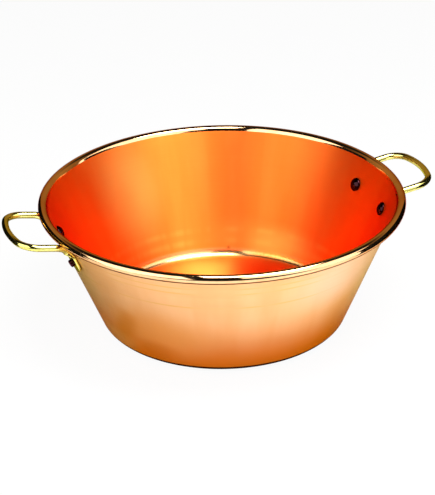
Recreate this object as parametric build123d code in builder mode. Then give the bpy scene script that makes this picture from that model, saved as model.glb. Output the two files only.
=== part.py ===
import os
from math import acos, asin, atan2, cos, degrees, hypot, radians, sin, sqrt, tan

from build123d import *

# Jam pan: a flared bowl with a rim rolled over a wire, and two riveted bar handles.
# Millimetres, +Z up. The origin is the middle of the flat bottom, the handles lie along X.

# Bowl
rim_diameter = 380.0
pan_height = 138.3
floor_diameter = 240.0
corner_radius = 12.0
sheet = 1.2

# Rolled rim
wire_diameter = 6.8
wire_clearance = 0.15
curl_gap = 0.3

# Handle loop, measured along the middle of the bar
bar_diameter = 7.0
leg_spacing = 82.0
loop_reach = 36.8
loop_corner_radius = 21.0
loop_end_radius = 98.0
loop_rise_angle = 9.5
leg_lift = 2.2
bend_start = 7.0
bend_end = 5.0

# Handle feet
foot_width = 17.0
foot_thickness = 3.0
foot_length = 20.0
foot_end_radius = 7.5
foot_neck = 8.0
neck_length = 6.0
bar_wall_gap = 0.3
seat_gap = 0.05

# Rivets
rivet_pitch = 67.5
rivet_drop = 32.0
shank_diameter = 5.5
hole_clearance = 0.05
inner_head_diameter = 14.5
inner_head_height = 4.2
inner_head_land = 0.9
outer_head_diameter = 8.0
outer_head_height = 3.2
outer_head_edge = 0.8

# Rim roll: the sheet wraps round the wire, its middle is set in from the outer edge
rim_radius = rim_diameter / 2
floor_radius = floor_diameter / 2
wire_radius = wire_diameter / 2
roll_inner_radius = wire_radius + wire_clearance
roll_radius = roll_inner_radius + sheet
roll_x = rim_radius - roll_radius
roll_z = pan_height - roll_radius

# The wall is the straight line that touches both the corner arc and the rolled sheet
wall_run = roll_x - floor_radius
wall_rise = roll_z - corner_radius
wall_span = hypot(wall_run, wall_rise)
flare = acos((corner_radius + roll_inner_radius) / wall_span) - atan2(wall_rise, wall_run)
flare_angle = degrees(flare)
curl_angle = 360 - degrees(acos((roll_inner_radius - curl_gap) / roll_radius))


def wall_radius(height):
    return roll_x - roll_inner_radius / cos(flare) - (roll_z - height) * tan(flare)


# Rivet seats: x runs round the pan, y up the wall, z straight out of its outer face
rivet_z = pan_height - rivet_drop
rivet_radius = wall_radius(rivet_z)
rivet_angle = degrees(asin(rivet_pitch / 2 / rivet_radius))


def seat_plane(azimuth):
    turn = radians(azimuth)
    return Plane(
        origin=(rivet_radius * cos(turn), rivet_radius * sin(turn), rivet_z),
        x_dir=(-sin(turn), cos(turn), 0),
        z_dir=(cos(flare) * cos(turn), cos(flare) * sin(turn), -sin(flare)),
    )


seat_azimuths = {
    "rivet_right_front": -rivet_angle,
    "rivet_right_back": rivet_angle,
    "rivet_left_front": 180 + rivet_angle,
    "rivet_left_back": 180 - rivet_angle,
}
shank_radius = shank_diameter / 2
hole_radius = shank_radius + hole_clearance


def save(part, name):
    part.label = name
    export_step(part, f"parts/{name}.step")


os.makedirs("parts", exist_ok=True)


# Bowl: bottom, corner and wall are one sheet that ends in the curl
def arc_point(radius, angle):
    turn = radians(angle)
    return (roll_x + radius * cos(turn), roll_z + radius * sin(turn))


curl_start = 180 - flare_angle
curl_end = curl_start - curl_angle
corner_arc = 90 - flare_angle
inner_corner_radius = corner_radius - sheet
corner_middle = (floor_radius, corner_radius)

with BuildPart() as bowl:
    with BuildSketch(Plane.XZ):
        with BuildLine():
            Line((0, 0), (floor_radius, 0))
            outer_corner = CenterArc(corner_middle, corner_radius, -90, corner_arc)
            Line(outer_corner @ 1, arc_point(roll_inner_radius, curl_start))
            CenterArc((roll_x, roll_z), roll_inner_radius, curl_start, -curl_angle)
            Line(arc_point(roll_inner_radius, curl_end), arc_point(roll_radius, curl_end))
            CenterArc((roll_x, roll_z), roll_radius, curl_end, curl_angle)
            inner_corner = CenterArc(corner_middle, inner_corner_radius, -90, corner_arc)
            Line(arc_point(roll_radius, curl_start), inner_corner @ 1)
            Line((floor_radius, sheet), (0, sheet))
            Line((0, sheet), (0, 0))
        make_face()
    revolve(axis=Axis.Z)
    with BuildSketch(*[seat_plane(azimuth) for azimuth in seat_azimuths.values()]):
        Circle(hole_radius)
    extrude(amount=2 * sheet, both=True, mode=Mode.SUBTRACT)
save(bowl.part, "bowl")

# Wire ring inside the roll
with BuildPart() as rim_wire:
    with BuildSketch(Plane.XZ):
        with Locations((roll_x, roll_z)):
            Circle(wire_radius)
    revolve(axis=Axis.Z)
save(rim_wire.part, "rim_wire")

# Handle loop: two straight legs, two corners and a slightly bowed end, in a rising plane
bar_radius = bar_diameter / 2
half_spacing = leg_spacing / 2
rise = radians(loop_rise_angle)
leg_drop = roll_radius + bar_radius - leg_lift
loop_plane = Plane(
    origin=(rim_radius, 0, roll_z - leg_drop),
    x_dir=(cos(rise), 0, sin(rise)),
    z_dir=(-sin(rise), 0, cos(rise)),
)
corner_y = half_spacing - loop_corner_radius
radius_step = loop_end_radius - loop_corner_radius
end_x = loop_reach - loop_end_radius
corner_x = end_x + sqrt(radius_step**2 - corner_y**2)
end_angle = degrees(asin(corner_y / radius_step))
corner_turn = 90 - end_angle

# Foot plates lie on the wall, the neck above each one rounds up into the bar
round_y = foot_neck + neck_length
round_z = bar_radius + bar_wall_gap
plate_z = seat_gap + foot_thickness / 2
right_seats = [seat_plane(-rivet_angle), seat_plane(rivet_angle)]


def bend(seat, side):
    foot_top = seat.from_local_coords((0, round_y, round_z))
    leg_start = loop_plane.from_local_coords((0, side * half_spacing, 0))
    return Bezier(
        foot_top,
        foot_top + seat.y_dir * bend_end,
        leg_start - loop_plane.x_dir * bend_start,
        leg_start,
    )


with BuildPart() as handle_right:
    with BuildLine(loop_plane) as loop:
        Line((0, half_spacing), (corner_x, half_spacing))
        CenterArc((corner_x, corner_y), loop_corner_radius, 90, -corner_turn)
        CenterArc((end_x, 0), loop_end_radius, end_angle, -2 * end_angle)
        CenterArc((corner_x, -corner_y), loop_corner_radius, -end_angle, -corner_turn)
        Line((corner_x, -half_spacing), (0, -half_spacing))
    with BuildLine() as bar_line:
        first_bend = bend(right_seats[1], 1)
        add(loop.line)
        bend(right_seats[0], -1)
    with BuildSketch(Plane(origin=first_bend @ 0, z_dir=first_bend % 0)):
        Circle(bar_radius)
    sweep(path=bar_line.wires()[0])
    for seat in right_seats:
        neck_plane = Plane(seat.origin, x_dir=seat.x_dir, z_dir=seat.y_dir)
        with BuildSketch(neck_plane.offset(round_y)):
            with Locations((0, -round_z)):
                Circle(bar_radius)
        with BuildSketch(neck_plane.offset(foot_neck)):
            with Locations((0, -plate_z)):
                SlotOverall(foot_width, foot_thickness)
        loft()
        with BuildSketch(seat.offset(seat_gap)):
            with Locations((0, foot_neck)):
                plate = Rectangle(foot_width, foot_length, align=(Align.CENTER, Align.MAX))
            fillet(plate.vertices().group_by(Axis.Y)[0], foot_end_radius)
        extrude(amount=foot_thickness)
        with BuildSketch(seat):
            Circle(hole_radius)
        extrude(amount=round_z, mode=Mode.SUBTRACT)
save(handle_right.part, "handle_right")

with BuildPart() as handle_left:
    add(handle_right.part, rotation=(0, 0, 180))
save(handle_left.part, "handle_left")

# Rivet: a domed head inside the pan, and outside a squat head with a rounded edge
inner_head_radius = inner_head_diameter / 2
outer_head_radius = outer_head_diameter / 2
inner_wall_radius = rivet_radius - sheet / cos(flare)
head_sag = inner_wall_radius - sqrt(inner_wall_radius**2 - inner_head_radius**2)
inner_head_z = -sheet - head_sag - seat_gap
outer_head_z = foot_thickness + 2 * seat_gap
dome_z = inner_head_z - inner_head_land
dome_top_z = inner_head_z - inner_head_height
outer_top_z = outer_head_z + outer_head_height

with BuildPart() as blank_rivet:
    with BuildSketch(Plane.XZ):
        with BuildLine():
            Line((0, outer_top_z), (0, dome_top_z))
            TangentArc((0, dome_top_z), (inner_head_radius, dome_z), tangent=(1, 0))
            Line((inner_head_radius, dome_z), (inner_head_radius, inner_head_z))
            Line((inner_head_radius, inner_head_z), (shank_radius, inner_head_z))
            Line((shank_radius, inner_head_z), (shank_radius, outer_head_z))
            Line((shank_radius, outer_head_z), (outer_head_radius, outer_head_z))
            Line((outer_head_radius, outer_head_z), (outer_head_radius, outer_top_z))
            Line((outer_head_radius, outer_top_z), (0, outer_top_z))
        make_face()
    revolve(axis=Axis.Z)
    fillet(blank_rivet.edges().group_by(Axis.Z)[-1], outer_head_edge)

for rivet_name, azimuth in seat_azimuths.items():
    with BuildPart() as rivet:
        with Locations(seat_plane(azimuth)):
            add(blank_rivet.part)
    save(rivet.part, rivet_name)
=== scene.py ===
import math

import bmesh
import bpy
from mathutils import Matrix, Vector, noise


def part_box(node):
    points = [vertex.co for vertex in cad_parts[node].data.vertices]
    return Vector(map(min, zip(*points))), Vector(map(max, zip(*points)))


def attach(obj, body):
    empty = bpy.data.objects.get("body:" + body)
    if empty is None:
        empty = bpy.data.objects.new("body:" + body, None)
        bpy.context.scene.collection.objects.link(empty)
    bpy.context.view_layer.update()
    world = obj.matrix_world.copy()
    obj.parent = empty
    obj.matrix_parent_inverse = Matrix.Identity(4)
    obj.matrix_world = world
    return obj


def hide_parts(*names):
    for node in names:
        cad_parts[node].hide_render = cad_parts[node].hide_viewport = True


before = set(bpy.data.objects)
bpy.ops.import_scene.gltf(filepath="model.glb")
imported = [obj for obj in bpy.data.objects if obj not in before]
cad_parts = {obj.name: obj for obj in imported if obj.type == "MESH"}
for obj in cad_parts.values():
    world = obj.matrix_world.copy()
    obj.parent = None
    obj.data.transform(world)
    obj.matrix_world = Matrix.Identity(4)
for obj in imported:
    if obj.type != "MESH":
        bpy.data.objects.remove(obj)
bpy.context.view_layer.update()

# Copper jam pan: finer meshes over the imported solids, their metals, the camera and the studio
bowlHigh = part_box("bowl")[1]
rimRadius = bowlHigh.x
panHeight = bowlHigh.z
print(f"frame loaded: rim {2 * rimRadius:.3f} m, height {panHeight:.3f} m")


# Small helpers for nodes
def setInputs(node, values):
    for name, value in values.items():
        node.inputs[name].default_value = value
    return node


def setOrLink(tree, socket, value):
    if isinstance(value, bpy.types.NodeSocket):
        tree.links.new(value, socket)
    elif value is not None:
        socket.default_value = value


def addMath(tree, operation, first, second=None):
    node = tree.nodes.new("ShaderNodeMath")
    node.operation = operation
    for socket, value in zip(node.inputs, (first, second)):
        setOrLink(tree, socket, value)
    return node.outputs[0]


def addVectorMath(tree, operation, first, second=None):
    node = tree.nodes.new("ShaderNodeVectorMath")
    node.operation = operation
    for socket, value in zip(node.inputs, (first, second)):
        setOrLink(tree, socket, value)
    return node.outputs


def addRange(tree, value, low, high, newLow, newHigh):
    node = tree.nodes.new("ShaderNodeMapRange")
    node.interpolation_type = "SMOOTHSTEP"
    setInputs(node, {"From Min": low, "From Max": high, "To Min": newLow, "To Max": newHigh})
    tree.links.new(value, node.inputs["Value"])
    return node.outputs["Result"]


def addMix(tree, factor, first, second):
    node = tree.nodes.new("ShaderNodeMix")
    node.data_type = "RGBA"
    for socket, value in ((node.inputs[0], factor), (node.inputs[6], first), (node.inputs[7], second)):
        setOrLink(tree, socket, value)
    return node.outputs[2]


def addNoise(tree, vector, scale, detail, roughness=0.5):
    node = tree.nodes.new("ShaderNodeTexNoise")
    setInputs(node, {"Scale": scale, "Detail": detail, "Roughness": roughness})
    tree.links.new(vector, node.inputs["Vector"])
    return node.outputs["Fac"]


def addPlace(tree):
    return tree.nodes.new("ShaderNodeTexCoord").outputs["Object"]


def addHeight(tree):
    split = tree.nodes.new("ShaderNodeSeparateXYZ")
    tree.links.new(addPlace(tree), split.inputs[0])
    return split.outputs["Z"]


def newGroup(name, inputs, outputs):
    group = bpy.data.node_groups.new(name, "ShaderNodeTree")
    for label, value in inputs.items():
        socket = group.interface.new_socket(label, in_out="INPUT", socket_type="NodeSocketFloat")
        socket.default_value = value
    for label in outputs:
        group.interface.new_socket(label, in_out="OUTPUT", socket_type="NodeSocketFloat")
    return group, group.nodes.new("NodeGroupInput"), group.nodes.new("NodeGroupOutput")


def useGroup(tree, group, values):
    node = tree.nodes.new("ShaderNodeGroup")
    node.node_tree = group
    return setInputs(node, values)


# Lathe marks: rings round the pan's axis, and broad soft streaks that run up the wall
bandShare = 0.06  # the bands' scale as a share of the rings' scale
streakRise = 4.0  # how fast a streak changes up the wall


def makeLatheGroup():
    group, given, result = newGroup(
        "latheMarks",
        {"Ring Scale": 900.0, "Ring Drift": 1.2, "Streak Scale": 5.0},
        ("Rings", "Bands", "Streaks"),
    )
    links = group.links
    split = group.nodes.new("ShaderNodeSeparateXYZ")
    links.new(addPlace(group), split.inputs[0])
    flat = group.nodes.new("ShaderNodeCombineXYZ")
    links.new(split.outputs["X"], flat.inputs["X"])
    links.new(split.outputs["Y"], flat.inputs["Y"])
    length = addVectorMath(group, "LENGTH", flat.outputs[0])["Value"]
    around = addVectorMath(group, "NORMALIZE", flat.outputs[0])[0]
    profile = addMath(group, "ADD", length, split.outputs["Z"])

    def polarPoint(aroundScale, profileScale):
        scaled = group.nodes.new("ShaderNodeVectorMath")
        scaled.operation = "SCALE"
        links.new(around, scaled.inputs[0])
        links.new(aroundScale, scaled.inputs["Scale"])
        lift = group.nodes.new("ShaderNodeCombineXYZ")
        links.new(addMath(group, "MULTIPLY", profile, profileScale), lift.inputs["Z"])
        return addVectorMath(group, "ADD", scaled.outputs[0], lift.outputs[0])[0]

    ringScale, drift = given.outputs["Ring Scale"], given.outputs["Ring Drift"]
    rings = addNoise(group, polarPoint(drift, ringScale), scale=1.0, detail=4.0, roughness=0.6)
    bandScale = addMath(group, "MULTIPLY", ringScale, bandShare)
    bands = addNoise(group, polarPoint(drift, bandScale), scale=1.0, detail=2.0)
    streaks = addNoise(group, polarPoint(given.outputs["Streak Scale"], streakRise), scale=1.0, detail=3.0)
    links.new(rings, result.inputs["Rings"])
    links.new(bands, result.inputs["Bands"])
    links.new(streaks, result.inputs["Streaks"])
    return group


# Handling marks: soft clouds of tarnish, and a fine grain of rubbing
def makeHandlingGroup():
    group, given, result = newGroup(
        "handlingMarks", {"Cloud Scale": 14.0, "Grain Scale": 900.0}, ("Clouds", "Grain")
    )
    place = addPlace(group)
    for scale, detail, name in (("Cloud Scale", 4.0, "Clouds"), ("Grain Scale", 3.0, "Grain")):
        texture = group.nodes.new("ShaderNodeTexNoise")
        texture.inputs["Detail"].default_value = detail
        group.links.new(place, texture.inputs["Vector"])
        group.links.new(given.outputs[scale], texture.inputs["Scale"])
        group.links.new(texture.outputs["Fac"], result.inputs[name])
    return group


latheGroup = makeLatheGroup()
handlingGroup = makeHandlingGroup()


# Metals. A noise runs from 0 to 1, and each mask is cut out of its noise between two values
maskSpans = {
    "streaks": (0.35, 0.65),
    "tarnish": (0.45, 0.75),
    "rings": (0.3, 0.7),
    "wear": (0.4, 0.7),
    "grain": (0.3, 0.7),
    "speckle": (0.42, 0.58),
}
bandWeight = 4.0  # how much deeper the bands are than the rings
speckleScale = 420.0
# Each patch below, whether a real stain or painted light or shade, has its full tone within this share of its
# reach
patchCore = 0.2  # the share of a stain's reach that has its full tone
glossTurn = 0.25  # a quarter turn, which draws the gloss out across the lathe marks


def newMetal(name, edgeTone, anisotropy=0.0):
    material = bpy.data.materials.new(name)
    material.use_nodes = True
    tree = material.node_tree
    shader = tree.nodes["Principled BSDF"]
    setInputs(shader, {"Metallic": 1.0, "Specular Tint": edgeTone, "Anisotropic": anisotropy})
    if anisotropy:
        shader.inputs["Anisotropic Rotation"].default_value = glossTurn
        tangent = tree.nodes.new("ShaderNodeTangent")
        tangent.direction_type = "RADIAL"
        tangent.axis = "Z"
        tree.links.new(tangent.outputs[0], shader.inputs["Tangent"])
    return material, tree, shader


def addBump(tree, shader, height, distance, strength):
    bump = tree.nodes.new("ShaderNodeBump")
    setInputs(bump, {"Distance": distance, "Strength": strength})
    tree.links.new(height, bump.inputs["Height"])
    tree.links.new(bump.outputs[0], shader.inputs["Normal"])


# Lines round the wall at given heights in a tone of their own, stronger in some places than in others: darker
# on the outside, along the rings that the turning left, and paler and broader low on the inside
def addRingLines(tree, tone, height, strength, look):
    for line in look["lineHeights"]:
        away = addMath(tree, "ABSOLUTE", addMath(tree, "SUBTRACT", height, line))
        mask = addRange(tree, away, 0.0, look["lineWidth"], look["lineShare"], 0.0)
        tone = addMix(tree, addMath(tree, "MULTIPLY", mask, strength), tone, look["lineTone"])
    return tone


# A soft patch has a middle, its reach along x, y and z, a tone, its share and how mottled it is. Some patches
# are real stains and marks, others are painted light or shade
def stainOrPaintedLight(middle, reach, tone, share, mottled=0.0):
    return {"middle": middle, "reach": reach, "tone": tone, "share": share, "mottled": mottled}


def addStainsAndPaintedLight(tree, tone, stainsAndPaintedLight):
    place = addPlace(tree)
    for patch in stainsAndPaintedLight:
        offset = addVectorMath(tree, "SUBTRACT", place, patch["middle"])[0]
        scaled = addVectorMath(tree, "DIVIDE", offset, patch["reach"])[0]
        away = addVectorMath(tree, "LENGTH", scaled)["Value"]
        mask = addRange(tree, away, patchCore, 1.0, patch["share"], 0.0)
        if patch["mottled"]:
            speckle = addNoise(tree, place, scale=speckleScale, detail=3.0)
            speckle = addRange(tree, speckle, *maskSpans["speckle"], 1.0 - patch["mottled"], 1.0)
            mask = addMath(tree, "MULTIPLY", mask, speckle)
        tone = addMix(tree, mask, tone, patch["tone"])
    return tone


def makeTurnedCopper(name, look):
    material, tree, shader = newMetal(name, look["edgeTone"], look["anisotropy"])
    marks = useGroup(tree, latheGroup, {"Ring Scale": look["ringScale"], "Streak Scale": look["streakScale"]})
    handling = useGroup(tree, handlingGroup, {"Cloud Scale": look["cloudScale"]})
    height = addHeight(tree)
    streaks = addRange(tree, marks.outputs["Streaks"], *maskSpans["streaks"], 0.0, 1.0)
    tone = addMix(tree, streaks, look["deepTone"], look["brightTone"])
    clouds = addRange(tree, handling.outputs["Clouds"], *maskSpans["tarnish"], 0.0, look["tarnish"])
    tone = addMix(tree, clouds, tone, look["tarnishTone"])
    # A band low on the pan takes a tone of its own. Inside it is a paler tone on the corner, partly polish
    # and partly a painted highlight. Outside it is a darker, deeper tone towards the bottom, which is painted
    # shade
    paintedLightBand = addRange(tree, height, *look["paintedLightBandHeights"], 1.0, 0.0)
    if "paintedLightBandFrom" in look:
        aboveFloor = addRange(tree, height, *look["paintedLightBandFrom"], 0.0, 1.0)
        paintedLightBand = addMath(tree, "MULTIPLY", paintedLightBand, aboveFloor)
    tone = addMix(tree, paintedLightBand, tone, look["paintedLightBandTone"])
    tone = addRingLines(tree, tone, height, streaks, look)
    tone = addStainsAndPaintedLight(tree, tone, look["stainsAndPaintedLight"])
    # A matt, unreflecting, near-black band round the foot's edge: painted shade where the pan meets the floor
    if "footShadeTone" in look:
        foot = addRange(tree, height, *look["footShadeHeights"], 1.0, 0.0)
        tone = addMix(tree, foot, tone, look["footShadeTone"])
        tree.links.new(addMath(tree, "SUBTRACT", 1.0, foot), shader.inputs["Metallic"])
        shader.inputs["Specular IOR Level"].default_value = look["footShadeGloss"]
    tree.links.new(tone, shader.inputs["Base Color"])
    roughness = addRange(tree, marks.outputs["Rings"], *maskSpans["rings"], *look["roughness"])
    # Inside, the same band is also smoother by its share, where stirring polished the corner
    buffed = addRange(tree, paintedLightBand, 0.0, 1.0, 1.0, look["rubbedShare"])
    tree.links.new(addMath(tree, "MULTIPLY", roughness, buffed), shader.inputs["Roughness"])
    bands = addMath(tree, "MULTIPLY", marks.outputs["Bands"], bandWeight)
    grooves = addMath(tree, "ADD", marks.outputs["Rings"], bands)
    addBump(tree, shader, grooves, look["markDepth"], strength=1.0)
    return material


def makePolished(name, look):
    material, tree, shader = newMetal(name, look["edgeTone"])
    handling = useGroup(tree, handlingGroup, {"Cloud Scale": look["cloudScale"]})
    clouds = addRange(tree, handling.outputs["Clouds"], *maskSpans["wear"], 0.0, 1.0)
    tone = addMix(tree, clouds, look["tone"], look["wornTone"])
    # A dark tone on the bead's underside, along its crease with the wall: painted shade
    if "creaseShadeTone" in look:
        creaseShade = addRange(tree, addHeight(tree), *look["creaseShadeHeights"], 1.0, 0.0)
        tone = addMix(tree, creaseShade, tone, look["creaseShadeTone"])
    tree.links.new(tone, shader.inputs["Base Color"])
    roughness = addRange(tree, handling.outputs["Grain"], *maskSpans["grain"], *look["roughness"])
    tree.links.new(roughness, shader.inputs["Roughness"])
    addBump(tree, shader, handling.outputs["Grain"], look["markDepth"], strength=0.6)
    return material


innerCopper = makeTurnedCopper("copperTurnedInside", {
    "brightTone": (1.0, 0.25, 0.035, 1),
    "deepTone": (1.0, 0.22, 0.027, 1),
    "tarnishTone": (0.97, 0.18, 0.02, 1),
    "tarnish": 0.25,
    "edgeTone": (1.0, 0.04, 0.0, 1),
    "anisotropy": 0.82,
    "roughness": (0.42, 0.50),
    # The corner band is paler copper: partly polish from stirring and partly a painted highlight, so the
    # lamp's highlight there reads white
    "paintedLightBandHeights": (0.0055, 0.0120),
    "paintedLightBandFrom": (0.0020, 0.0040),
    "paintedLightBandTone": (1.0, 0.62, 0.27, 1),
    "rubbedShare": 0.45,
    "lineHeights": (0.0180, 0.0300),
    "lineWidth": 0.0050,
    "lineShare": 0.45,
    "lineTone": (1.0, 0.42, 0.08, 1),
    "stainsAndPaintedLight": (
        # Mottled deeper orange on the far corner: partly tarnish marks, partly painted shade that dims the
        # corner's highlight there
        stainOrPaintedLight((0.085, 0.093, 0.004), (0.034, 0.034, 0.012), (0.90, 0.17, 0.02, 1), 1.0, mottled=0.35),
        # Yellow on the floor: painted highlight of the overhead lamp
        stainOrPaintedLight((0.000, 0.084, 0.001), (0.066, 0.052, 0.008), (1.0, 0.66, 0.13, 1), 0.75),
        stainOrPaintedLight((0.0489, 0.1216, 0.0107), (0.003, 0.003, 0.003), (0.25, 0.05, 0.01, 1), 0.8),
        # This patch and the next: paler copper low on the far wall, right of the middle: painted light, the
        # glow reflected from the floor's highlight
        stainOrPaintedLight((0.065, 0.118, 0.022), (0.050, 0.050, 0.030), (1.0, 0.36, 0.06, 1), 0.4),
        stainOrPaintedLight((0.106, 0.082, 0.014), (0.060, 0.070, 0.032), (1.0, 0.55, 0.12, 1), 0.6),
        # Paler copper high on the far left wall: painted highlight of the lamp on the right
        stainOrPaintedLight((-0.0635, 0.147, 0.080), (0.055, 0.055, 0.090), (1.0, 0.46, 0.10, 1), 0.8),
        # Red on the floor, right of the middle: painted reflection of the far wall
        stainOrPaintedLight((0.080, 0.066, 0.001), (0.058, 0.062, 0.005), (0.90, 0.06, 0.002, 1), 0.85),
    ),
    "ringScale": 1500.0,
    "streakScale": 6.0,
    "cloudScale": 14.0,
    "markDepth": 0.000012,
})

# A darker streak that leans down the left of the outer wall, made of soft round patches
streakPatches = (
    ((-0.1284, -0.0806, 0.0580), 0.35),
    ((-0.1280, -0.0745, 0.0500), 0.35),
    ((-0.1276, -0.0687, 0.0421), 0.35),
    ((-0.1270, -0.0625, 0.0345), 0.35),
    ((-0.1265, -0.0560, 0.0270), 0.3),
)
darkStreak = [
    stainOrPaintedLight(middle, (0.018, 0.018, 0.018), (0.70, 0.24, 0.030, 1), share) for middle, share in streakPatches
]

outerCopper = makeTurnedCopper("copperTurnedOutside", {
    "brightTone": (0.94, 0.56, 0.28, 1),
    "deepTone": (0.90, 0.49, 0.22, 1),
    "tarnishTone": (0.82, 0.40, 0.14, 1),
    "tarnish": 0.25,
    "edgeTone": (0.62, 0.55, 0.32, 1),
    "anisotropy": 0.5,
    "roughness": (0.30, 0.40),
    # Darker, deeper copper towards the bottom of the wall: painted shade, the shaded floor near the foot as
    # seen in the wall
    "paintedLightBandHeights": (0.005, 0.08),
    "paintedLightBandTone": (0.80, 0.21, 0.016, 1),
    # Painted shade at the foot: a near-black, matt band without reflection
    "footShadeHeights": (0.0058, 0.0072),
    "footShadeTone": (0.03, 0.006, 0.003, 1),
    "footShadeGloss": 0.0,
    "rubbedShare": 1.0,
    "lineHeights": (0.1168, 0.1097, 0.0913),
    "lineWidth": 0.0014,
    "lineShare": 0.8,
    "lineTone": (0.80, 0.44, 0.09, 1),
    "stainsAndPaintedLight": (
        # These three patches and the one after the streak: deeper orange and olive tones on the left of the
        # wall. This is painted shade: the left faces away from the lamps, and the floor it mirrors is shaded
        stainOrPaintedLight((-0.112, -0.108, 0.045), (0.090, 0.075, 0.047), (0.90, 0.38, 0.09, 1), 0.7),
        stainOrPaintedLight((-0.1280, -0.0400, 0.0180), (0.035, 0.045, 0.022), (0.84, 0.44, 0.15, 1), 0.7),
        stainOrPaintedLight((-0.1025, -0.0900, 0.0190), (0.035, 0.035, 0.020), (0.66, 0.17, 0.01, 1), 0.5),
        *darkStreak,
        # Olive high on the left edge: painted shade
        stainOrPaintedLight((-0.170, -0.020, 0.085), (0.050, 0.050, 0.060), (0.70, 0.52, 0.20, 1), 0.5),
        # Olive grey at the right edge: painted shade
        stainOrPaintedLight((0.120, -0.110, 0.065), (0.040, 0.040, 0.040), (0.76, 0.52, 0.22, 1), 0.4),
        # Pale pink high on the right: painted light from the lamps on the right
        stainOrPaintedLight((0.075, -0.150, 0.105), (0.085, 0.070, 0.050), (1.0, 0.68, 0.50, 1), 0.7),
    ),
    "ringScale": 1500.0,
    "streakScale": 4.0,
    "cloudScale": 11.0,
    "markDepth": 0.000012,
})
rimCopper = makePolished("copperPolishedRim", {
    "tone": (0.97, 0.62, 0.32, 1),
    "wornTone": (0.93, 0.52, 0.24, 1),
    "edgeTone": (0.35, 0.06, 0.01, 1),
    # Painted shade along the bead's crease with the wall
    "creaseShadeTone": (0.16, 0.05, 0.01, 1),
    "creaseShadeHeights": (0.1309, 0.1325),
    "roughness": (0.05, 0.10),
    "cloudScale": 60.0,
    "markDepth": 0.000002,
})
handleBrass = makePolished("brassPolished", {
    "tone": (0.88, 0.82, 0.26, 1),
    "wornTone": (0.82, 0.75, 0.19, 1),
    "edgeTone": (0.35, 0.30, 0.10, 1),
    "roughness": (0.07, 0.13),
    "cloudScale": 80.0,
    "markDepth": 0.000003,
})
rivetMetal = makePolished("copperDarkRivet", {
    "tone": (0.035, 0.012, 0.016, 1),
    "wornTone": (0.025, 0.008, 0.012, 1),
    "edgeTone": (0.50, 0.20, 0.25, 1),
    "roughness": (0.10, 0.18),
    "cloudScale": 160.0,
    "markDepth": 0.000004,
})
wireSteel = makePolished("steelDrawnWire", {
    "tone": (0.60, 0.60, 0.61, 1),
    "wornTone": (0.50, 0.49, 0.48, 1),
    "edgeTone": (0.90, 0.90, 0.90, 1),
    "roughness": (0.25, 0.35),
    "cloudScale": 120.0,
    "markDepth": 0.000006,
})
print("materials ready")


# Objects and meshes
mergeDistance = 1e-6


def newObject(name, data):
    made = bpy.data.objects.new(name, data)
    bpy.context.scene.collection.objects.link(made)
    return made


def newMesh(name, bm, materials):
    mesh = bpy.data.meshes.new(name)
    bm.to_mesh(mesh)
    bm.free()
    for material in materials:
        mesh.materials.append(material)
    return mesh


def finishPiece(bm, name, materials, nodeNames):
    for face in bm.faces:
        face.smooth = True
    mesh = newMesh(name, bm, materials)
    piece = newObject(name, mesh)
    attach(piece, "root")
    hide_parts(*nodeNames)
    print(f"{name}: {len(mesh.polygons)} faces")


def spinProfile(bm, steps):
    geometry = bm.verts[:] + bm.edges[:]
    bmesh.ops.spin(
        bm, geom=geometry, cent=(0, 0, 0), axis=(0, 0, 1), angle=2 * math.pi, steps=steps, use_merge=True
    )
    bmesh.ops.remove_doubles(bm, verts=bm.verts, dist=mergeDistance)


# Bowl: the upper skin of the sheet is spun, then the sheet gets its thickness
bowl = {
    "sheet": 0.0012,
    "floorRadius": 0.12,
    "cornerRadius": 0.012,
    "rollRadius": 0.00475,
    "curlGap": 0.0003,
    "aroundSteps": 192,
    "floorCuts": 8,
    "cornerSteps": 18,
    "wallCuts": 79,
    "curlSteps": 40,
    "waviness": 0.00018,
    "wavesAround": 2.3,
    "wavesUp": 14,
    "ringHeights": (0.1168, 0.1048, 0.0923),
    "ringWidth": 0.0014,
    "ringDepth": 0.00012,
}
rollInnerRadius = bowl["rollRadius"] - bowl["sheet"]
rollX = rimRadius - bowl["rollRadius"]
rollZ = panHeight - bowl["rollRadius"]
wallRun = rollX - bowl["floorRadius"]
wallRise = rollZ - bowl["cornerRadius"]
wallSpan = math.hypot(wallRun, wallRise)
flare = math.acos((bowl["cornerRadius"] + rollInnerRadius) / wallSpan) - math.atan2(wallRise, wallRun)


def wallRadius(height):
    return rollX - rollInnerRadius / math.cos(flare) - (rollZ - height) * math.tan(flare)


def extrudeVert(bm, vert, place):
    made = bmesh.ops.extrude_vert_indiv(bm, verts=[vert])
    made["verts"][0].co = place
    return made["verts"][0], made["edges"][0]


def spinVert(bm, vert, centre, angle, steps):
    made = bmesh.ops.spin(
        bm, geom=[vert], cent=centre, axis=(0, 1, 0), angle=angle, steps=steps, use_merge=False
    )
    return [item for item in made["geom_last"] if isinstance(item, bmesh.types.BMVert)][0]


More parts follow.
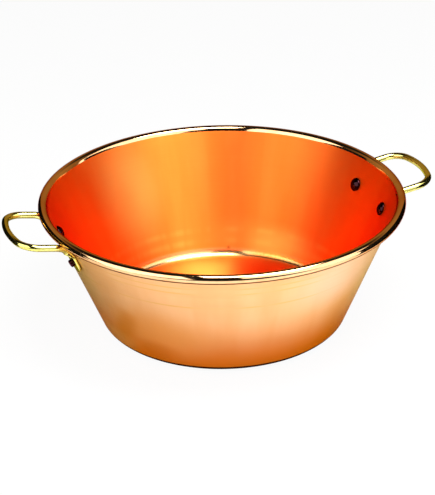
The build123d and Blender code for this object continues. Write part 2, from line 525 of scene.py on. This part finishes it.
# The skin's profile is floor, corner, wall and curl
def spinSkin():
    bm = bmesh.new()
    sheet = bowl["sheet"]
    roll = bowl["rollRadius"]
    floorRadius = bowl["floorRadius"]
    middle = bm.verts.new((0, 0, sheet))
    floorEdge, floorLine = extrudeVert(bm, middle, (floorRadius, 0, sheet))
    cornerMiddle = (floorRadius, 0, bowl["cornerRadius"])
    cornerTop = spinVert(bm, floorEdge, cornerMiddle, flare - math.pi / 2, bowl["cornerSteps"])
    wallTopPlace = (rollX - roll * math.cos(flare), 0, rollZ + roll * math.sin(flare))
    wallTop, wallLine = extrudeVert(bm, cornerTop, wallTopPlace)
    curlAngle = 2 * math.pi - math.acos((rollInnerRadius - bowl["curlGap"]) / roll)
    spinVert(bm, wallTop, (rollX, 0, rollZ), curlAngle, bowl["curlSteps"])
    bmesh.ops.subdivide_edges(bm, edges=[floorLine], cuts=bowl["floorCuts"])
    bmesh.ops.subdivide_edges(bm, edges=[wallLine], cuts=bowl["wallCuts"])
    bmesh.ops.remove_doubles(bm, verts=bm.verts, dist=mergeDistance)
    spinProfile(bm, bowl["aroundSteps"])
    bmesh.ops.recalc_face_normals(bm, faces=bm.faces)
    nearest = min(bm.faces, key=lambda face: face.calc_center_median().length)
    if nearest.normal.z < 0:
        bmesh.ops.reverse_faces(bm, faces=bm.faces)
    return bm


# The bead has its own metal, the second of the bowl's materials
def markBead(bm):
    beadReach = bowl["rollRadius"] + bowl["sheet"] / 8
    for face in bm.faces:
        centre = face.calc_center_median()
        fromRoll = math.hypot(math.hypot(centre.x, centre.y) - rollX, centre.z - rollZ)
        face.material_index = 1 if fromRoll < beadReach else 0


# A spun sheet is never quite true: it waves a little round the pan
def waveWall(bm):
    for vert in bm.verts:
        around = Vector((vert.co.x, vert.co.y, 0))
        if around.length > bowl["floorRadius"]:
            direction = around.normalized()
            place = direction * bowl["wavesAround"] + Vector((0, 0, vert.co.z * bowl["wavesUp"]))
            vert.co -= direction * bowl["waviness"] * (0.5 + 0.5 * noise.noise(place))


# The thickness goes on below and outside, where the faces take the material two slots further on
def thicken(shell):
    holder = newObject("bowlShell", shell)
    thickness = holder.modifiers.new("sheet", "SOLIDIFY")
    thickness.thickness = bowl["sheet"]
    thickness.offset = -1
    thickness.use_even_offset = True
    thickness.material_offset = 2
    solid = bpy.data.meshes.new_from_object(holder.evaluated_get(bpy.context.evaluated_depsgraph_get()))
    bpy.data.objects.remove(holder)
    return solid


# Shallow rings turned in the outer face of the wall
def cutRings(bm):
    for vert in bm.verts:
        around = math.hypot(vert.co.x, vert.co.y)
        outside = around > wallRadius(vert.co.z) - bowl["sheet"] / 2
        if outside and vert.co.z < rollZ - bowl["rollRadius"]:
            offsets = [(vert.co.z - height) / bowl["ringWidth"] for height in bowl["ringHeights"]]
            depth = sum(math.exp(-(offset**2)) for offset in offsets)
            vert.co.xy *= 1 - bowl["ringDepth"] * depth / around


def makeBowl():
    skins = (innerCopper, rimCopper, outerCopper, outerCopper)
    skin = spinSkin()
    markBead(skin)
    waveWall(skin)
    solid = thicken(newMesh("bowlShell", skin, skins))
    bm = bmesh.new()
    bm.from_mesh(solid)
    cutRings(bm)
    finishPiece(bm, "spunBowl", skins, ("bowl",))


makeBowl()


# Handles: a round bar bent into a D, its two ends hammered out into feet
handle = {
    "barRadius": 0.0035,
    "legSpacing": 0.082,
    "reach": 0.03678,
    "cornerRadius": 0.021,
    "endRadius": 0.098,
    "riseAngle": math.radians(9.5),
    "legLift": 0.0022,
    "bendStart": 0.007,
    "bendEnd": 0.005,
    "footWidth": 0.017,
    "footThickness": 0.003,
    "footLength": 0.020,
    "footEndRadius": 0.0075,
    "footNeck": 0.008,
    "neckLength": 0.006,
    "barWallGap": 0.0003,
    "seatGap": 0.00005,
    "barSquareness": 2,  # 2 is round, more is squarer
    "footSquareness": 5.0,
    "tipThinning": 0.35,
    "ringVerts": 32,
    "endSteps": 10,
    "cornerSteps": 16,
    "legSteps": 5,
    "bendSteps": 18,
    "neckSteps": 10,
    "footSteps": 4,
    "tipSteps": 12,
    "mirrorMerge": 1e-5,
}

# The rivets' sizes come here, because the handles' feet are placed by them
rivet = {
    "pitch": 0.0675,
    "drop": 0.032,
    "shankRadius": 0.00275,
    "innerRadius": 0.00725,
    "innerHeight": 0.0042,
    "innerLand": 0.0009,
    "outerRadius": 0.004,
    "outerHeight": 0.0032,
    "outerEdge": 0.0008,
    "steps": 48,
    "domeSteps": 14,
    "edgeSteps": 5,
    "mergeDistance": 1e-7,
}
rivetHeight = panHeight - rivet["drop"]
rivetRadius = wallRadius(rivetHeight)
rivetAngle = math.asin(rivet["pitch"] / 2 / rivetRadius)


def seatMatrix(azimuth):
    across = Vector((-math.sin(azimuth), math.cos(azimuth), 0))
    outward = Vector((
        math.cos(flare) * math.cos(azimuth),
        math.cos(flare) * math.sin(azimuth),
        -math.sin(flare),
    ))
    place = Matrix((across, outward.cross(across), outward)).transposed().to_4x4()
    place.translation = (rivetRadius * math.cos(azimuth), rivetRadius * math.sin(azimuth), rivetHeight)
    return place


# A handle is shaped by stations along half of its bar, from the middle of the loop to a foot's tip
# Each station: place, direction, side, half width, half thickness, squareness
barRadius = handle["barRadius"]
roundBar = (barRadius, barRadius, handle["barSquareness"])
loopOut = Vector((math.cos(handle["riseAngle"]), 0, math.sin(handle["riseAngle"])))
loopSide = Vector((0, 1, 0))
loopDrop = bowl["rollRadius"] + barRadius - handle["legLift"]
loopStart = Vector((rimRadius, 0, rollZ - loopDrop))
legStart = loopStart + loopSide * (handle["legSpacing"] / 2)
roundY = handle["footNeck"] + handle["neckLength"]
roundZ = barRadius + handle["barWallGap"]


def arcStations(centreX, centreY, radius, first, last, steps):
    stations = []
    for step in range(steps):
        angle = first + (last - first) * step / steps
        radial = loopOut * math.cos(angle) + loopSide * math.sin(angle)
        along = loopSide * math.cos(angle) - loopOut * math.sin(angle)
        place = loopStart + loopOut * centreX + loopSide * centreY + radial * radius
        stations.append((place, along, radial, *roundBar))
    return stations


# The bowed end, one corner and one straight leg
def loopStations():
    cornerY = handle["legSpacing"] / 2 - handle["cornerRadius"]
    radiusStep = handle["endRadius"] - handle["cornerRadius"]
    endX = handle["reach"] - handle["endRadius"]
    cornerX = endX + math.sqrt(radiusStep**2 - cornerY**2)
    endAngle = math.asin(cornerY / radiusStep)
    stations = arcStations(endX, 0, handle["endRadius"], 0, endAngle, handle["endSteps"])
    stations += arcStations(
        cornerX, cornerY, handle["cornerRadius"], endAngle, math.pi / 2, handle["cornerSteps"]
    )
    for step in range(handle["legSteps"]):
        place = legStart + loopOut * cornerX * (1 - step / handle["legSteps"])
        stations.append((place, -loopOut, loopSide, *roundBar))
    return stations


# The bend from the leg down to the wall
def bendStations(seat, across, up):
    footTop = seat @ Vector((0, roundY, roundZ))
    points = (
        legStart,
        legStart - loopOut * handle["bendStart"],
        footTop + up * handle["bendEnd"],
        footTop,
    )
    stations = []
    for step in range(handle["bendSteps"]):
        t = step / handle["bendSteps"]
        weights = ((1 - t) ** 3, 3 * t * (1 - t) ** 2, 3 * t * t * (1 - t), t**3)
        place = sum((point * weight for point, weight in zip(points, weights)), Vector())
        slopes = (-((1 - t) ** 2), (1 - t) ** 2 - 2 * t * (1 - t), 2 * t * (1 - t) - t * t, t * t)
        along = sum((point * slope for point, slope in zip(points, slopes)), Vector()).normalized()
        stations.append((place, along, loopSide.lerp(across, t), *roundBar))
    return stations


# The neck flattens into the foot, whose tip is rounded and a little thinner
def footStations(seat, across, up):
    width = handle["footWidth"] / 2
    thick = handle["footThickness"] / 2
    flatFoot = (width, thick, handle["footSquareness"])
    plateZ = handle["seatGap"] + thick
    endRadius = handle["footEndRadius"]
    straight = handle["footLength"] - endRadius
    stations = []
    for step in range(handle["neckSteps"]):
        t = step / handle["neckSteps"]
        blend = t * t * (3 - 2 * t)
        place = seat @ Vector((0, roundY - handle["neckLength"] * t, roundZ + (plateZ - roundZ) * blend))
        section = [start + (end - start) * blend for start, end in zip(roundBar, flatFoot)]
        stations.append((place, -up, across, *section))
    for step in range(handle["footSteps"]):
        place = seat @ Vector((0, handle["footNeck"] - straight * step / handle["footSteps"], plateZ))
        stations.append((place, -up, across, *flatFoot))
    for step in range(handle["tipSteps"] + 1):
        angle = math.pi / 2 * step / handle["tipSteps"]
        place = seat @ Vector((0, handle["footNeck"] - straight - endRadius * math.sin(angle), plateZ))
        narrow = width - endRadius * (1 - math.cos(angle))
        thin = thick * (1 - handle["tipThinning"] * (1 - math.cos(angle)) ** 3)
        stations.append((place, -up, across, narrow, thin, handle["footSquareness"]))
    return stations


def shapeRing(ring, station):
    place, along, side, width, thick, squareness = station
    side = (side - along * side.dot(along)).normalized()
    up = side.cross(along)
    for index, vert in enumerate(ring):
        angle = 2 * math.pi * index / len(ring)
        c, s = math.cos(angle), math.sin(angle)
        x = math.copysign(abs(c) ** (2 / squareness), c) * width
        y = math.copysign(abs(s) ** (2 / squareness), s) * thick
        vert.co = place + side * x + up * y


def extrudeRing(bm, ring):
    edges = [edge for edge in bm.edges if edge.verts[0] in ring and edge.verts[1] in ring]
    made = bmesh.ops.extrude_edge_only(bm, edges=edges)["geom"]
    fresh = {}
    for vert in made:
        if isinstance(vert, bmesh.types.BMVert):
            for edge in vert.link_edges:
                other = edge.other_vert(vert)
                if other in ring:
                    fresh[ring.index(other)] = vert
    return [fresh[index] for index in range(len(ring))]


def makeHandle(name, turn, nodeName):
    bm = bmesh.new()
    ring = bmesh.ops.create_circle(bm, segments=handle["ringVerts"], radius=barRadius)["verts"]
    seat = seatMatrix(rivetAngle)
    across, up = (seat.col[index].to_3d() for index in range(2))
    stations = loopStations() + bendStations(seat, across, up) + footStations(seat, across, up)
    shapeRing(ring, stations[0])
    for station in stations[1:]:
        ring = extrudeRing(bm, ring)
        shapeRing(ring, station)
    bm.faces.new(ring)
    half = bm.verts[:] + bm.edges[:] + bm.faces[:]
    bmesh.ops.mirror(bm, geom=half, axis="Y", merge_dist=handle["mirrorMerge"])
    bmesh.ops.remove_doubles(bm, verts=bm.verts, dist=mergeDistance)
    bmesh.ops.rotate(bm, verts=bm.verts, cent=(0, 0, 0), matrix=Matrix.Rotation(turn, 3, "Z"))
    bmesh.ops.recalc_face_normals(bm, faces=bm.faces)
    finishPiece(bm, name, (handleBrass,), (nodeName,))


makeHandle("rightHandle", 0, "handle_right")
makeHandle("leftHandle", math.pi, "handle_left")


# Rivets: a domed head inside the pan and a squat one outside
def makeRivet(name, azimuth, nodeName):
    sheet = bowl["sheet"]
    gap = handle["seatGap"]
    innerWall = rivetRadius - sheet / math.cos(flare)
    sag = innerWall - math.sqrt(innerWall**2 - rivet["innerRadius"] ** 2)
    headZ = -sheet - sag - gap
    domeZ = headZ - rivet["innerLand"]
    topZ = headZ - rivet["innerHeight"]
    outerZ = handle["footThickness"] + 2 * gap
    outerTopZ = outerZ + rivet["outerHeight"]
    bm = bmesh.new()
    crown = bm.verts.new((0, 0, topZ))
    domeHeight = domeZ - topZ
    domeRadius = (rivet["innerRadius"] ** 2 + domeHeight**2) / 2 / domeHeight
    domeAngle = math.asin(rivet["innerRadius"] / domeRadius)
    last = spinVert(bm, crown, (0, 0, topZ + domeRadius), -domeAngle, rivet["domeSteps"])
    edge = rivet["outerEdge"]
    for place in (
        (rivet["innerRadius"], 0, headZ),
        (rivet["shankRadius"], 0, headZ),
        (rivet["shankRadius"], 0, outerZ),
        (rivet["outerRadius"], 0, outerZ),
        (rivet["outerRadius"], 0, outerTopZ - edge),
    ):
        last = extrudeVert(bm, last, place)[0]
    edgeMiddle = (rivet["outerRadius"] - edge, 0, outerTopZ - edge)
    last = spinVert(bm, last, edgeMiddle, -math.pi / 2, rivet["edgeSteps"])
    extrudeVert(bm, last, (0, 0, outerTopZ))
    bmesh.ops.remove_doubles(bm, verts=bm.verts, dist=rivet["mergeDistance"])
    spinProfile(bm, rivet["steps"])
    bmesh.ops.recalc_face_normals(bm, faces=bm.faces)
    bmesh.ops.transform(bm, matrix=seatMatrix(azimuth), verts=bm.verts)
    finishPiece(bm, name, (rivetMetal,), (nodeName,))


for label, azimuth in (
    ("right_front", -rivetAngle),
    ("right_back", rivetAngle),
    ("left_front", math.pi + rivetAngle),
    ("left_back", math.pi - rivetAngle),
):
    makeRivet(f"rivetHead_{label}", azimuth, f"rivet_{label}")

# The wire stays as packed, it only needs its steel
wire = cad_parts["rim_wire"]
wire.data.materials.clear()
wire.data.materials.append(wireSteel)
print("rim wire has its steel")


# Camera, from the photograph's own view of the rim, the bottom and the handles
view = {
    "azimuth": math.radians(-109.031),
    "elevation": math.radians(26.714),
    "distance": 1.71,
    "aimHeight": 0.0653,
    "roll": math.radians(-0.938),
    "focalPixels": 1620.93,
    "aimPixel": (222.87, 255.97),
    "imageSize": (435, 495),
    "sensor": 36.0,
}
towardCamera = Vector((math.cos(view["azimuth"]), math.sin(view["azimuth"]), 0))
cameraRight = Vector((-towardCamera.y, towardCamera.x, 0))


def makeCamera():
    data = bpy.data.cameras.new("photoCamera")
    camera = newObject("photoCamera", data)
    width, height = view["imageSize"]
    data.sensor_width = view["sensor"]
    data.lens = view["focalPixels"] * view["sensor"] / height
    data.shift_x = (width / 2 - view["aimPixel"][0]) / height
    data.shift_y = (view["aimPixel"][1] - height / 2) / height
    back = towardCamera * math.cos(view["elevation"]) + Vector((0, 0, math.sin(view["elevation"])))
    camera.location = Vector((0, 0, view["aimHeight"])) + back * view["distance"]
    turn = (-back).to_track_quat("-Z", "Y").to_matrix() @ Matrix.Rotation(view["roll"], 3, "Z")
    camera.rotation_euler = turn.to_euler()
    bpy.context.scene.camera = camera


makeCamera()
print("camera ready")


# Studio: pale floor, a softbox overhead and one on each side, two black flags, a dark room
studio = {
    "floorSize": 14.0,
    "floorSegments": 8,
    "floorTone": (0.93, 0.93, 0.93, 1),
    "flagTone": (0.005, 0.005, 0.005, 1),
    "skySeen": (1.0, 1.0, 1.0, 1),
    "skyBack": (0.38, 0.22, 0.07, 1),
    "skyDark": (0.01, 0.01, 0.01, 1),
    "backEdge": (-0.70, 0.10),  # cosines to the camera's side, between which the far side fades out
    "backTop": (0.50, 0.68),  # sines above the floor, between which it fades out
    "fillStrength": 0.2,
    "seenGlow": 0.94,
    "mirroredGlow": 0.08,
}
lamps = (
    {"name": "overheadSoftbox", "place": (0.20, 0.16, 1.0), "size": (0.64, 0.45), "watts": 11.0},
    {"name": "leftSoftbox", "place": (-1.368, 0.976, 0.96), "size": (2.05, 1.9), "watts": 28.0},
    {"name": "rightSoftbox", "place": (1.541, 0.654, 0.96), "size": (3.8, 1.9), "watts": 43.0},
)
flags = (
    {"azimuth": math.radians(-100), "distance": 0.34, "size": (0.4, 0.26)},
    {"azimuth": math.radians(95), "distance": 0.34, "size": (0.35, 0.26)},
)


# The camera sees a white studio, and so do mirror surfaces and glass, a little less
def addSeen(tree, seenShare, mirroredShare):
    path = tree.nodes.new("ShaderNodeLightPath")
    mirrored = addMath(tree, "MAXIMUM", path.outputs["Is Glossy Ray"], path.outputs["Is Transmission Ray"])
    seen = addMath(tree, "MULTIPLY", path.outputs["Is Camera Ray"], seenShare)
    return addMath(tree, "ADD", seen, addMath(tree, "MULTIPLY", mirrored, mirroredShare))


def makeMatt(name, tone):
    material = bpy.data.materials.new(name)
    material.use_nodes = True
    shader = material.node_tree.nodes["Principled BSDF"]
    setInputs(shader, {"Base Color": tone, "Roughness": 1.0, "Specular IOR Level": 0.0})
    return material, material.node_tree, shader


def makeFloor():
    material, tree, shader = makeMatt("paleFloor", studio["floorTone"])
    glow = tree.nodes.new("ShaderNodeEmission")
    blend = tree.nodes.new("ShaderNodeMixShader")
    tree.links.new(addSeen(tree, studio["seenGlow"], studio["mirroredGlow"]), blend.inputs[0])
    tree.links.new(shader.outputs[0], blend.inputs[1])
    tree.links.new(glow.outputs[0], blend.inputs[2])
    tree.links.new(blend.outputs[0], tree.nodes["Material Output"].inputs["Surface"])
    bm = bmesh.new()
    segments = studio["floorSegments"]
    bmesh.ops.create_grid(bm, x_segments=segments, y_segments=segments, size=studio["floorSize"] / 2)
    newObject("studioFloor", newMesh("studioFloor", bm, (material,)))


# The room: dim and brown low behind the pan, else dark. The camera sees it white, as it sees the floor
def makeWorld():
    world = bpy.data.worlds.new("studioWorld")
    bpy.context.scene.world = world
    world.use_nodes = True
    tree = world.node_tree
    direction = tree.nodes.new("ShaderNodeTexCoord").outputs["Generated"]
    front = addVectorMath(tree, "DOT_PRODUCT", direction, towardCamera)["Value"]
    behind = addRange(tree, front, *studio["backEdge"], 1.0, 0.0)
    up = tree.nodes.new("ShaderNodeSeparateXYZ")
    tree.links.new(direction, up.inputs[0])
    low = addRange(tree, up.outputs["Z"], *studio["backTop"], 1.0, 0.0)
    tone = addMix(tree, addMath(tree, "MULTIPLY", behind, low), studio["skyDark"], studio["skyBack"])
    seen = tree.nodes.new("ShaderNodeLightPath").outputs["Is Camera Ray"]
    background = tree.nodes["Background"]
    tree.links.new(addMix(tree, seen, tone, studio["skySeen"]), background.inputs["Color"])
    strength = addRange(tree, addSeen(tree, 1.0, 1.0), 0.0, 1.0, studio["fillStrength"], 1.0)
    tree.links.new(strength, background.inputs["Strength"])


# Black flags beside the pan: only mirror surfaces see them, as the dark edges of rim and handles
def makeFlags():
    material = makeMatt("blackFlag", studio["flagTone"])[0]
    for place in flags:
        width, height = place["size"]
        out = towardCamera * math.cos(place["azimuth"]) + cameraRight * math.sin(place["azimuth"])
        side = Vector((-out.y, out.x, 0)) * width / 2
        foot = out * place["distance"]
        top = Vector((0, 0, height))
        corners = (foot - side, foot + side, foot + side + top, foot - side + top)
        bm = bmesh.new()
        bm.faces.new([bm.verts.new(corner) for corner in corners])
        flag = newObject("sideFlag", newMesh("sideFlag", bm, (material,)))
        flag.visible_camera = False
        flag.visible_diffuse = False
        flag.visible_shadow = False


def makeLamp(lamp):
    data = bpy.data.lights.new(lamp["name"], "AREA")
    data.shape = "RECTANGLE"
    data.size, data.size_y = lamp["size"]
    data.energy = lamp["watts"]
    light = newObject(lamp["name"], data)
    right, near, up = lamp["place"]
    light.location = cameraRight * right + towardCamera * near + Vector((0, 0, up))
    aim = Vector((0, 0, view["aimHeight"])) - light.location
    back = -aim.normalized()
    side = (cameraRight - back * cameraRight.dot(back)).normalized()
    light.rotation_euler = Matrix((side, back.cross(side), back)).transposed().to_euler()
    light.visible_camera = False


makeFloor()
makeWorld()
makeFlags()
for lamp in lamps:
    makeLamp(lamp)
bpy.context.scene.view_settings.view_transform = "Standard"
print("studio ready")
